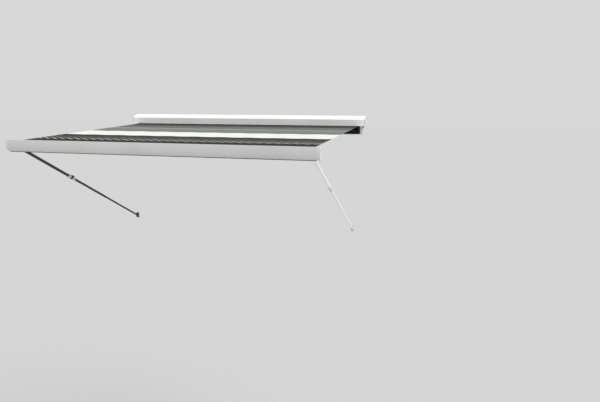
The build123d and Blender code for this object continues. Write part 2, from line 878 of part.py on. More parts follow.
with BuildPart() as arm_spring:
    spring_section = Plane(
        origin=upper_plane.from_local_coords(Vector(spigot_end + seat_gap, 0, 0)),
        x_dir=upper_plane.y_dir,
        z_dir=upper_plane.x_dir,
    )
    with BuildSketch(spring_section):
        Circle(rod_radius)
    extrude(amount=rod_length)
    with BuildSketch(spring_section.offset(spring_start)):
        Circle(spring_radius)
    extrude(amount=spring_length)
    with BuildSketch(spring_section.offset(spring_start + spring_cap)):
        Circle(spring_bore)
        Circle(rod_radius, mode=Mode.SUBTRACT)
    extrude(amount=spring_length - 2 * spring_cap, mode=Mode.SUBTRACT)
keep_pair(arm_spring, "arm_spring")

# Wrist brackets: ears round the wrist pin and an arm to the inside of the rail's front
bracket_half = 20.0
front_pad = 5.0
front_pad_half = 34.0
front_inside = rail_front + rib_back + seat_gap
wrist_body = wrist.Y - front_inside

with BuildPart() as wrist_bracket:
    with BuildSketch(wrist_plane):
        Circle(ear_radius)
        Rectangle(2 * ear_radius, wrist_body + overrun, align=(Align.CENTER, Align.MAX))
    extrude(amount=arm_height / 2, both=True)
    with BuildSketch(wrist_plane):
        Circle(neck_start + seat_gap)
    extrude(amount=tongue_height / 2 + ear_gap, both=True, mode=Mode.SUBTRACT)
    with BuildSketch(Plane.XZ.offset(-front_inside)):
        with Locations((left_arm, wrist.Z)):
            Rectangle(2 * front_pad_half, arm_height)
    extrude(amount=-front_pad)
    split(bisect_by=Plane.XZ.offset(-front_inside), keep=Keep.BOTTOM)
    with BuildSketch(wrist_plane):
        Circle(pin_radius + fixed_gap)
    extrude(amount=arm_height, both=True, mode=Mode.SUBTRACT)
keep_pair(wrist_bracket, "wrist_bracket")

# Legs: each hangs from a two-way hinge in the rail and reaches a pad on the wall
leg_insets = {"left": 75.0, "right": 95.0}
foot_splay = 170.0
foot_tuck = 53.0
leg_setback = 60.0
leg_rise = 54.0
hinge_places = {side: sign * (rail_end - leg_insets[side]) for side, sign in side_signs.items()}
foot_places = {
    "left": hinge_places["left"] - foot_splay,
    "right": hinge_places["right"] - foot_tuck,
}
foot_height_on_wall = -1355.0
pad_thickness = 6.0
sole_gap = 0.5
heel_radius = 16.0

hinge_width = 24.0
hinge_ear = 5.0
hinge_radius = 13.0
knuckle_radius = 12.0
knuckle_offset = 32.0
swing_pin_radius = 4.0
fold_pin_radius = 4.0
tongue_thickness = 10.0
tongue_half = 10.0
fork_radius = 11.0
fork_half = 13.0
fork_clear = 12.5

outer_radius = 16.0
middle_radius = 13.9
inner_radius = 11.8
leg_wall = 1.8
fork_end = 48.0
outer_start = 34.0
outer_end = 915.0
middle_start = 750.0
middle_end = 1770.0
inner_start = 1680.0
foot_tongue_gap = 22.0
collar_start = 885.0
collar_end = 1012.0
collar_radius = 20.0

lever_width = 15.0
lever_thickness = 5.0
lever_length = 44.0
lever_place = 996.0
lever_height = 27.0
lever_pin_radius = 2.6
lever_cam = 5.0
lug_width = 4.0
lug_radius = 6.5
cam_gap = 0.4

foot_half_width = 14.0
foot_tongue = 9.0
foot_tongue_radius = 9.0
foot_pin_radius = 4.0
sole_drop = 27.0
sole_thickness = 7.0
hinge_reach = leg_setback - rib_back - seat_gap


def leg_places(side):
    """The hinge point, the foot point and the three directions of one leg."""
    hinge = Vector(hinge_places[side], rail_front + leg_setback, rail_bottom + leg_rise)
    foot = Vector(
        foot_places[side], -(pad_thickness + sole_gap + heel_radius), foot_height_on_wall
    )
    along = (foot - hinge).normalized()
    fold = Vector(1, 0, 0).cross(along).normalized()
    across = along.cross(fold)
    return hinge, foot, along, fold, across


with BuildPart() as leg_hinges:
    for side, sign in side_signs.items():
        hinge, foot, along, fold, across = leg_places(side)
        with BuildSketch(Plane(origin=hinge, x_dir=(0, 1, 0), z_dir=(1, 0, 0))):
            Circle(hinge_radius)
            Rectangle(hinge_reach, 2 * hinge_radius, align=(Align.MAX, Align.CENTER))
        extrude(amount=hinge_width / 2 + hinge_ear, both=True)
        with BuildSketch(Plane(origin=hinge, x_dir=(0, 1, 0), z_dir=(1, 0, 0))):
            Circle(hinge_radius + knuckle_radius / 2)
            Rectangle(
                hinge_radius + knuckle_radius,
                4 * hinge_radius,
                align=(Align.MIN, Align.CENTER),
            )
        extrude(amount=hinge_width / 2, both=True, mode=Mode.SUBTRACT)
        with BuildSketch(Plane(origin=hinge, x_dir=(0, 1, 0), z_dir=(1, 0, 0))):
            Circle(swing_pin_radius)
        extrude(amount=hinge_width / 2 + hinge_ear, both=True)
keep(leg_hinges, "leg_hinges")


def tube_between(plane, start, end, radius):
    """A round leg tube from one distance to another along the leg."""
    with BuildPart() as tube:
        with BuildSketch(plane.offset(start)):
            Circle(radius)
            Circle(radius - leg_wall, mode=Mode.SUBTRACT)
        extrude(amount=end - start)
    return tube.part


def build_leg(side):
    """The pieces of one leg, from the hinge in the rail to the pad on the wall."""
    sign = side_signs[side]
    hinge, foot, along, fold, across = leg_places(side)
    fold_point = hinge + along * knuckle_offset
    leg_reach = (foot - fold_point).length
    leg_plane = Plane(origin=fold_point, x_dir=across, z_dir=along)
    fold_plane = Plane(origin=fold_point, x_dir=along, z_dir=fold)

    with BuildPart() as knuckle:
        with BuildSketch(Plane(origin=hinge, x_dir=(0, 1, 0), z_dir=(1, 0, 0))):
            Circle(knuckle_radius)
        extrude(amount=hinge_width / 2 - seat_gap, both=True)
        with BuildSketch(fold_plane):
            Circle(tongue_half)
            Rectangle(knuckle_offset, 2 * tongue_half, align=(Align.MAX, Align.CENTER))
        extrude(amount=tongue_thickness / 2, both=True)
        with BuildSketch(Plane(origin=hinge, x_dir=(0, 1, 0), z_dir=(1, 0, 0))):
            Circle(swing_pin_radius + bore_gap)
        extrude(amount=hinge_width, both=True, mode=Mode.SUBTRACT)
        with BuildSketch(fold_plane):
            Circle(fold_pin_radius + bore_gap)
        extrude(amount=tongue_thickness, both=True, mode=Mode.SUBTRACT)
    keep(knuckle, f"leg_knuckle_{side}")

    with BuildPart() as outer:
        with BuildSketch(leg_plane.offset(fork_clear + seat_gap)):
            Circle(outer_radius)
        extrude(amount=outer_start - fork_clear - seat_gap)
        with BuildSketch(fold_plane):
            Circle(fork_radius)
            Rectangle(outer_start, 2 * fork_radius, align=(Align.MIN, Align.CENTER))
        extrude(amount=fork_half, both=True)
        with BuildSketch(fold_plane):
            with Locations((fork_clear, 0)):
                Rectangle(4 * fork_clear, 4 * fork_clear, align=(Align.MAX, Align.CENTER))
        extrude(amount=tongue_thickness / 2 + ear_gap, both=True, mode=Mode.SUBTRACT)
        with BuildSketch(fold_plane):
            Circle(fold_pin_radius)
        extrude(amount=fork_half, both=True)
        with BuildSketch(leg_plane.offset(outer_start)):
            Circle(outer_radius - leg_wall / 2)
        extrude(amount=fork_end - outer_start)
        add(tube_between(leg_plane, outer_start, outer_end, outer_radius))
    keep(outer, f"leg_outer_tube_{side}")

    with BuildPart() as middle:
        add(tube_between(leg_plane, middle_start, middle_end, middle_radius))
    keep(middle, f"leg_middle_tube_{side}")

    lug_plane = Plane(
        origin=fold_point + along * lever_place + fold * lever_height,
        x_dir=along,
        z_dir=across,
    )
    with BuildPart() as collar:
        with BuildSketch(leg_plane.offset(collar_start)):
            Circle(collar_radius)
        extrude(amount=collar_end - collar_start)
        fillet(collar.edges().filter_by(GeomType.CIRCLE), leg_wall)
        with BuildSketch(lug_plane):
            Circle(lug_radius)
            Rectangle(2 * lug_radius, lever_height, align=(Align.CENTER, Align.MAX))
        extrude(amount=lever_width / 2 + seat_gap + lug_width, both=True)
        with BuildSketch(lug_plane):
            Circle(lever_cam + cam_gap)
            Rectangle(
                lever_length, 2 * (lever_cam + cam_gap), align=(Align.MAX, Align.CENTER)
            )
            Rectangle(
                2 * (lever_cam + cam_gap),
                2 * lug_radius,
                align=(Align.CENTER, Align.MAX),
            )
            Rectangle(2 * lug_radius, 4 * lug_radius, align=(Align.MIN, Align.MAX))
            Rectangle(4 * lug_radius, 2 * lug_radius, align=(Align.CENTER, Align.MIN))
        extrude(amount=lever_width / 2 + seat_gap, both=True, mode=Mode.SUBTRACT)
        with BuildSketch(lug_plane):
            Circle(lever_pin_radius + bore_gap)
        extrude(amount=2 * lever_width, both=True, mode=Mode.SUBTRACT)
        with BuildSketch(leg_plane.offset(collar_start - overrun)):
            Circle(outer_radius + fixed_gap)
        extrude(amount=outer_end + seat_gap - collar_start + overrun, mode=Mode.SUBTRACT)
        with BuildSketch(leg_plane.offset(collar_start)):
            Circle(middle_radius + seat_gap)
        extrude(amount=collar_end - collar_start + overrun, mode=Mode.SUBTRACT)
    keep(collar, f"leg_collar_{side}")

    with BuildPart() as lever:
        with BuildSketch(lug_plane):
            Circle(lever_cam)
            with Locations((0, -lever_cam)):
                Rectangle(lever_length, lever_thickness, align=(Align.MAX, Align.MIN))
        extrude(amount=lever_width / 2, both=True)
        with BuildSketch(lug_plane):
            Circle(lever_pin_radius)
        extrude(amount=lever_width / 2 + lug_width, both=True)
    keep(lever, f"clamp_lever_{side}")

    foot_plane = Plane(
        origin=foot,
        x_dir=Vector(-across.Y, across.X, 0).normalized(),
        z_dir=across,
    )
    inner_end = leg_reach - foot_tongue_gap
    tongue_plane = Plane(origin=foot, x_dir=along, z_dir=across)
    with BuildPart() as inner:
        add(tube_between(leg_plane, inner_start, inner_end, inner_radius))
        with BuildSketch(leg_plane.offset(inner_end - inner_radius)):
            Circle(inner_radius - leg_wall / 2)
        extrude(amount=inner_radius)
        with BuildSketch(tongue_plane):
            Circle(foot_tongue_radius)
            Rectangle(
                foot_tongue_gap + leg_wall,
                2 * foot_tongue_radius,
                align=(Align.MAX, Align.CENTER),
            )
        extrude(amount=foot_tongue / 2, both=True)
        with BuildSketch(tongue_plane):
            Circle(foot_pin_radius + bore_gap)
        extrude(amount=foot_tongue, both=True, mode=Mode.SUBTRACT)
    keep(inner, f"leg_inner_tube_{side}")

    with BuildPart() as shoe:
        with BuildSketch(foot_plane):
            Circle(foot_tongue_radius + leg_wall)
            with Locations((heel_radius, 0)):
                Rectangle(sole_thickness, sole_drop, align=(Align.MAX, Align.MAX))
            with BuildSketch():
                Circle(heel_radius)
                Rectangle(
                    2 * heel_radius,
                    2 * heel_radius,
                    align=(Align.MAX, Align.CENTER),
                    mode=Mode.SUBTRACT,
                )
        extrude(amount=foot_half_width, both=True)
        with BuildSketch(foot_plane):
            Circle(foot_tongue_radius + leg_wall)
            Rectangle(
                2 * heel_radius, 2 * heel_radius, align=(Align.MAX, Align.CENTER)
            )
        extrude(amount=foot_tongue / 2 + seat_gap, both=True, mode=Mode.SUBTRACT)
        with BuildSketch(foot_plane):
            Circle(foot_pin_radius)
        extrude(amount=foot_half_width, both=True)
    keep(shoe, f"leg_foot_{side}")

    pad_half_width = 22.0
    pad_up = 34.0
    pad_down = 42.0
    pad_plate = 3.0
    pad_corner = 6.0
    pad_hole_radius = 2.75
    pad_hole_spread = 31.0
    pad_centre = -4.0
    block_half = 16.0
    block_up = 18.0
    block_down = 28.0
    cheek_wall = 4.0
    cheek_reach = 12.0
    cheek_gap = 1.0
    block_plane = Plane(
        origin=foot + foot_plane.x_dir * (heel_radius + sole_gap),
        x_dir=across,
        z_dir=foot_plane.x_dir,
    )
    outboard = sign * (foot_half_width + cheek_gap)
    with BuildPart() as pad:
        with BuildSketch(block_plane):
            with Locations((0, (block_down - block_up) / 2)):
                Rectangle(2 * block_half, block_up + block_down)
        extrude(amount=overrun)
        with BuildSketch(block_plane.offset(-cheek_reach)):
            with Locations((outboard, (block_down - block_up) / 2)):
                Rectangle(
                    cheek_wall,
                    block_up + block_down,
                    align=(Align.MIN if sign > 0 else Align.MAX, Align.CENTER),
                )
        extrude(amount=overrun + cheek_reach)
        split(bisect_by=Plane.XZ, keep=Keep.TOP)
        with BuildSketch(Plane.XZ):
            with Locations((foot.X, foot.Z + pad_centre)):
                RectangleRounded(2 * pad_half_width, pad_up + pad_down, pad_corner)
                with Locations((0, pad_hole_spread), (0, -pad_hole_spread)):
                    Circle(pad_hole_radius, mode=Mode.SUBTRACT)
        extrude(amount=pad_plate)
    keep(pad, f"leg_wall_pad_{side}")


for side in side_signs:
    build_leg(side)
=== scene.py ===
import math

import bpy
from mathutils import Matrix, Vector


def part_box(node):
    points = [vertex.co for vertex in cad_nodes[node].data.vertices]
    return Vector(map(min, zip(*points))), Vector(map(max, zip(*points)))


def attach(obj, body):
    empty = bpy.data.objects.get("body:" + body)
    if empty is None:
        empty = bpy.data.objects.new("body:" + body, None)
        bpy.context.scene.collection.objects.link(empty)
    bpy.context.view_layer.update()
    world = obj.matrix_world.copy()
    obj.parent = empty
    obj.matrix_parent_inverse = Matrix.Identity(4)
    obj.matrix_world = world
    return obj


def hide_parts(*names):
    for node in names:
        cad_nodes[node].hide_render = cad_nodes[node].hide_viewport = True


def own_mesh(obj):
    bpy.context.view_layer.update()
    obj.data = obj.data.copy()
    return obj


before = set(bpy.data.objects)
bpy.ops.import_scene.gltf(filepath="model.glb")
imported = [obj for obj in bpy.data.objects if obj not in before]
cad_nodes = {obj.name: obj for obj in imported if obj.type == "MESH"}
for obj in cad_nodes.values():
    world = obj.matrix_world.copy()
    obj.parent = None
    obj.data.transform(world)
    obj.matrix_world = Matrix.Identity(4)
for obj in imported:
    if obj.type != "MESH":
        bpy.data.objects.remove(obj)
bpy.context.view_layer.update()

# Hood of the case: one long aluminium extrusion that is bent over the roller and powder
# coated white. It is screwed between the two end caps. The coat is even and satin, with
# the fine orange peel that a sprayed and baked powder always has.


def tone(code):
    """Linear colour of an sRGB hex value."""
    parts = [int(code[i : i + 2], 16) / 255 for i in (1, 3, 5)]
    linear = [p / 12.92 if p <= 0.04045 else ((p + 0.055) / 1.055) ** 2.4 for p in parts]
    return (*linear, 1)


def add_node(material, kind, settings=None, links=None):
    """Adds a node, sets its options and sockets, and links other nodes' outputs into it."""
    made = material.node_tree.nodes.new(kind)
    for name, value in (settings or {}).items():
        if isinstance(name, int) or name in made.inputs:
            made.inputs[name].default_value = value
        else:
            setattr(made, name, value)
    for name, output in (links or {}).items():
        material.node_tree.links.new(output, made.inputs[name])
    return made


def new_material(name):
    """An empty node material with its shader and output joined."""
    material = bpy.data.materials.new(name)
    material.use_nodes = True
    return material, material.node_tree.nodes["Principled BSDF"]


def join(material, output, shader, socket):
    """Links a node's output to the shader."""
    material.node_tree.links.new(output, shader.inputs[socket])


# Polyester powder coat on aluminium: soft highlights, 1.5 mm orange peel, drawn at 4 mm so
# that it shows, and a faint film of dust that dulls the white in wide patches.
PEEL_SIZE = 0.004
DUST_SIZE = 0.35


def powder_coat(name, coat_colour, dust_colour, roughness=0.38):
    """Powder coated metal with orange peel and a film of dust."""
    material, shader = new_material(name)
    place = add_node(material, "ShaderNodeTexCoord")
    dust = add_node(
        material,
        "ShaderNodeTexNoise",
        {"Scale": 1 / DUST_SIZE, "Detail": 5.0, "Roughness": 0.6},
        {"Vector": place.outputs["Object"]},
    )
    film = add_node(material, "ShaderNodeValToRGB", links={"Fac": dust.outputs["Fac"]})
    film.color_ramp.elements[0].position = 0.42
    film.color_ramp.elements[0].color = tone(coat_colour)
    film.color_ramp.elements[1].position = 0.75
    film.color_ramp.elements[1].color = tone(dust_colour)
    peel = add_node(
        material,
        "ShaderNodeTexNoise",
        {"Scale": 1 / PEEL_SIZE, "Detail": 1.0},
        {"Vector": place.outputs["Object"]},
    )
    bump = add_node(
        material,
        "ShaderNodeBump",
        {"Strength": 0.06, "Distance": 0.0004},
        {"Height": peel.outputs["Fac"]},
    )
    dull = add_node(
        material,
        "ShaderNodeMapRange",
        {"To Min": roughness - 0.05, "To Max": roughness + 0.12},
        {"Value": dust.outputs["Fac"]},
    )
    shader.inputs["Coat Weight"].default_value = 0.15
    shader.inputs["Coat Roughness"].default_value = 0.2
    join(material, film.outputs["Color"], shader, "Base Color")
    join(material, dull.outputs["Result"], shader, "Roughness")
    join(material, bump.outputs["Normal"], shader, "Normal")
    return material


def dress(name, material):
    """Gives a CAD node its material."""
    piece = cad_nodes[name]
    piece.data.materials.clear()
    piece.data.materials.append(material)


case_white = powder_coat("white_powder_coat", "#f8f8f6", "#efefec")
dress("hood", case_white)
dress("case_floor", case_white)

# Seals: black rubber strips pushed into the hood's lip and into the foot of the lead rail,
# which close the awning when it is wound in. Their black also stands for the shade under
# the hood's lip and along the rail's foot: painted shade. Extruded rubber is matt, with a
# faint bloom in patches of 25 mm that are drawn out along the strip.
BLOOM_SIZE = 0.025


def rubber(name, colour, bloom_colour):
    """Extruded black rubber with a pale bloom in long patches."""
    material, shader = new_material(name)
    place = add_node(material, "ShaderNodeTexCoord")
    stretch = add_node(
        material,
        "ShaderNodeMapping",
        {"Scale": (0.2, 1.0, 1.0)},
        {"Vector": place.outputs["Object"]},
    )
    bloom = add_node(
        material,
        "ShaderNodeTexNoise",
        {"Scale": 1 / BLOOM_SIZE, "Detail": 3.0},
        {"Vector": stretch.outputs["Vector"]},
    )
    shade = add_node(material, "ShaderNodeValToRGB", links={"Fac": bloom.outputs["Fac"]})
    shade.color_ramp.elements[0].position = 0.4
    shade.color_ramp.elements[0].color = tone(colour)
    shade.color_ramp.elements[1].position = 0.8
    shade.color_ramp.elements[1].color = tone(bloom_colour)
    shader.inputs["Roughness"].default_value = 0.75
    join(material, shade.outputs["Color"], shader, "Base Color")
    return material


seal_rubber = rubber("extruded_epdm", "#1d1e1f", "#2a2b2c")

# A strip's lower part is its bulb, rounded by a share of the strip's thickness. The gap
# keeps it clear of the aluminium. An edge longer than the last value runs along the strip.
BULB_SHARE = 0.6
BULB_ROUNDING = 0.4
SEAL_GAP = 0.0001
LONG_EDGE = 0.1


def clear_selection():
    """Deselects all, so that the next operator acts on its own piece alone."""
    for each in bpy.context.selected_objects:
        each.select_set(False)


def seal_strip(name, body, piece_low, piece_high, inset, front, back, drop):
    """A rubber strip under a piece, set in from its ends and back from its front."""
    low = Vector((piece_low.x + inset, piece_low.y + front, piece_low.z - drop))
    high = Vector((piece_high.x - inset, piece_low.y + back, piece_low.z - SEAL_GAP))
    clear_selection()
    bpy.ops.mesh.primitive_cube_add(size=1, location=(low + high) / 2)
    strip = bpy.context.object
    strip.name = name
    strip.scale = high - low
    bpy.ops.object.transform_apply(location=True, rotation=True, scale=True)
    bpy.ops.object.mode_set(mode="EDIT")
    bpy.ops.mesh.select_mode(type="EDGE")
    bpy.ops.object.mode_set(mode="OBJECT")
    bulb_top = low.z + BULB_SHARE * (high.z - low.z)
    for edge in strip.data.edges:
        ends = [strip.data.vertices[v].co for v in edge.vertices]
        edge.select = abs(ends[0].x - ends[1].x) > LONG_EDGE and ends[0].z < bulb_top
    bpy.ops.object.mode_set(mode="EDIT")
    bpy.ops.mesh.bevel(offset=BULB_ROUNDING * (high.y - low.y), segments=4)
    bpy.ops.object.mode_set(mode="OBJECT")
    strip.data.materials.append(seal_rubber)
    bpy.ops.object.shade_smooth_by_angle(angle=math.radians(50))
    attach(strip, body)


hood_low, hood_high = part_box("hood")
seal_strip(
    "hood_lip_seal",
    "case",
    hood_low,
    hood_high,
    inset=0.03,
    front=0.0003,
    back=0.003,
    drop=0.003,
)
rail_low, rail_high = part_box("lead_rail")
seal_strip(
    "rail_foot_seal",
    "rail",
    rail_low,
    rail_high,
    inset=0.002,
    front=0.026,
    back=0.03,
    drop=0.005,
)

# End caps: injection moulded caps of light grey ABS that close the case and carry the
# roller. Moulded ABS has a fine spark grain, about 0.3 mm, drawn at 1.5 mm so that it
# shows, and its colour varies a little in flow clouds, nine to the metre.
GRAIN_SIZE = 0.0015
FLOW_CLOUDS = 9.0


def moulded_plastic(name, colour, deep_colour, roughness=0.5):
    """Moulded plastic with a spark grain and slightly uneven colour."""
    material, shader = new_material(name)
    place = add_node(material, "ShaderNodeTexCoord")
    cloud = add_node(
        material,
        "ShaderNodeTexNoise",
        {"Scale": FLOW_CLOUDS, "Detail": 3.0},
        {"Vector": place.outputs["Object"]},
    )
    shade = add_node(material, "ShaderNodeValToRGB", links={"Fac": cloud.outputs["Fac"]})
    shade.color_ramp.elements[0].position = 0.3
    shade.color_ramp.elements[0].color = tone(deep_colour)
    shade.color_ramp.elements[1].position = 0.7
    shade.color_ramp.elements[1].color = tone(colour)
    grain = add_node(
        material,
        "ShaderNodeTexVoronoi",
        {"Scale": 1 / GRAIN_SIZE},
        {"Vector": place.outputs["Object"]},
    )
    bump = add_node(
        material,
        "ShaderNodeBump",
        {"Strength": 0.15, "Distance": 0.0003},
        {"Height": grain.outputs["Distance"]},
    )
    shader.inputs["Roughness"].default_value = roughness
    join(material, shade.outputs["Color"], shader, "Base Color")
    join(material, bump.outputs["Normal"], shader, "Normal")
    return material


cap_abs = moulded_plastic("light_grey_abs", "#d6d6d4", "#cdcdca")
for side in ("left", "right"):
    dress(f"end_cap_{side}", cap_abs)

# Screws, pins and wall plates: zinc plated steel, screwed or pressed in. The zinc is
# passivated, which leaves a bright grey with faint blue and yellow clouds of 30 mm.
CLOUD_SIZE = 0.03


def plated_steel(name, colour, tint, roughness=0.32):
    """Zinc plated steel with cloudy passivation."""
    material, shader = new_material(name)
    place = add_node(material, "ShaderNodeTexCoord")
    cloud = add_node(
        material,
        "ShaderNodeTexNoise",
        {"Scale": 1 / CLOUD_SIZE, "Detail": 4.0},
        {"Vector": place.outputs["Object"]},
    )
    shade = add_node(material, "ShaderNodeValToRGB", links={"Fac": cloud.outputs["Fac"]})
    shade.color_ramp.elements[0].position = 0.35
    shade.color_ramp.elements[0].color = tone(colour)
    shade.color_ramp.elements[1].position = 0.7
    shade.color_ramp.elements[1].color = tone(tint)
    wear = add_node(
        material,
        "ShaderNodeMapRange",
        {"To Min": roughness - 0.08, "To Max": roughness + 0.14},
        {"Value": cloud.outputs["Fac"]},
    )
    shader.inputs["Metallic"].default_value = 1.0
    join(material, shade.outputs["Color"], shader, "Base Color")
    join(material, wear.outputs["Result"], shader, "Roughness")
    return material


zinc = plated_steel("zinc_plated_steel", "#b9bcc0", "#c3bfb2")
for name in ("case_screws", "rail_screws", "wall_brackets", "shoulder_pins", "wrist_pins"):
    dress(name, zinc)

# Back profile and roller tube: aluminium extrusions with the long draw lines that the die
# leaves, 0.5 mm apart, drawn at 3 mm so that they show. The profile is drawn dark grey,
# painted shade for the shaded inside of the case, and the tube silver.
DRAW_SPACING = 0.003


def drawn_aluminium(name, colour, line_colour, roughness=0.36, along=(0.02, 1.0, 1.0)):
    """Extruded aluminium with draw lines along its length."""
    material, shader = new_material(name)
    place = add_node(material, "ShaderNodeTexCoord")
    stretch = add_node(
        material, "ShaderNodeMapping", {"Scale": along}, {"Vector": place.outputs["Object"]}
    )
    lines = add_node(
        material,
        "ShaderNodeTexNoise",
        {"Scale": 1 / DRAW_SPACING, "Detail": 3.0},
        {"Vector": stretch.outputs["Vector"]},
    )
    shade = add_node(material, "ShaderNodeValToRGB", links={"Fac": lines.outputs["Fac"]})
    shade.color_ramp.elements[0].position = 0.3
    shade.color_ramp.elements[0].color = tone(line_colour)
    shade.color_ramp.elements[1].position = 0.65
    shade.color_ramp.elements[1].color = tone(colour)
    bump = add_node(
        material,
        "ShaderNodeBump",
        {"Strength": 0.12, "Distance": 0.0002},
        {"Height": lines.outputs["Fac"]},
    )
    shader.inputs["Metallic"].default_value = 1.0
    shader.inputs["Roughness"].default_value = roughness
    join(material, shade.outputs["Color"], shader, "Base Color")
    join(material, bump.outputs["Normal"], shader, "Normal")
    return material


# The back profile's dark grey is painted shade, for the shaded inside of the case.
dress("back_profile", drawn_aluminium("painted_shade_extrusion", "#4a4b4d", "#3d3e40", 0.5))
dress("roller_tube", drawn_aluminium("silver_anodised_extrusion", "#b9babc", "#a3a4a6"))

# Roller ends and winch housing: moulded of black glass filled nylon, slightly shiny. The
# bushes and the housing sit in the end caps, and the plug is pushed into the tube.
nylon = moulded_plastic("black_nylon", "#26272a", "#1c1d1f", 0.42)
for name in ("roller_bearings", "roller_plug", "winch_housing"):
    dress(name, nylon)

# Winch: a worm and the wheel on the roller that it drives, both turned from steel. They
# are bare and oiled, a little darker and smoother than the zinc.
worm_steel = plated_steel("turned_steel", "#a7a9ad", "#9a9ba0", 0.28)
for name in ("worm_shaft", "worm_wheel"):
    dress(name, worm_steel)

# Cloth: woven acrylic awning cloth, printed with stripes along the case. It leaves the roll
# from below, hangs in a slight sag and ends in a bead that slides into the lead rail. Its
# side edges are folded over once and sewn.
SHEET_THICKNESS = 0.0006
SHEET_SAG = 0.003
RIPPLE_HEIGHT = 0.0012
RIPPLE_LENGTH = 0.31
SHEET_COLUMNS = 96
SHEET_ROWS = 120

# The CAD cloth is 1 mm thick and slopes by 3 degrees. This one lies on its middle plane.
CAD_CLOTH_HALF = 0.0005
SLOPE = math.radians(3)
sheet_low, sheet_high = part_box("fabric_sheet")
sheet_width = sheet_high.x - sheet_low.x
sheet_start = Vector((0, sheet_high.y, sheet_high.z - CAD_CLOTH_HALF))
sheet_end = Vector((0, sheet_low.y, sheet_low.z + CAD_CLOTH_HALF))
sheet_run = sheet_end - sheet_start
sheet_length = sheet_run.length
back_to_sheet = -sheet_high.y / math.cos(SLOPE)

# The threads are 0.4 mm apart, drawn at 2.2 mm so that they show. A wave texture of scale 1
# repeats every 0.314 m, and this factor gives each of its waves two threads.
THREAD_SPACING = 0.0022
WAVE_FACTOR = 6.3

# Dust and rain leave soft dirty patches, three or four to the metre.
SOIL_PATCHES = 3.5
SOIL_COLOUR = "#8a8984"

# Stripes, each with its colour and the place where it ends, as a distance along the cloth
# from the back of the case. The first is part print and part painted shade: the hood's
# shade on the cloth is painted into its colour.
STRIPES = (
    ("#3c3f3d", 0.42),
    ("#646865", 0.72),
    ("#848785", 0.87),
    ("#747774", 1.22),
    ("#dcddd9", 1.685),
    ("#343734", 2.178),
    ("#2b2d2b", 2.33),
    ("#5a5d5a", 2.60),
)

# The dark front band is printed with slanted pale crescents, brighter towards the front.
# Their strength is given at places measured in the same way.
CRESCENT_SPACING = 0.095
CRESCENT_SLANT = 1.25
CRESCENT_COLOUR = "#a6a9a6"
CRESCENT_BAND = (
    (1.83, 0.0),
    (1.89, 0.25),
    (2.0, 0.3),
    (2.07, 1.0),
    (2.16, 1.0),
    (2.178, 0.0),
)


def sheet_height(across, down):
    """Height of the cloth above its flat plane, at shares of its width and length."""
    bow = 4 * down * (1 - down)
    sag = SHEET_SAG * math.sin(math.pi * across) ** 0.5
    ripple = RIPPLE_HEIGHT * math.sin(2 * math.pi * across * sheet_width / RIPPLE_LENGTH)
    return bow * (ripple - sag)


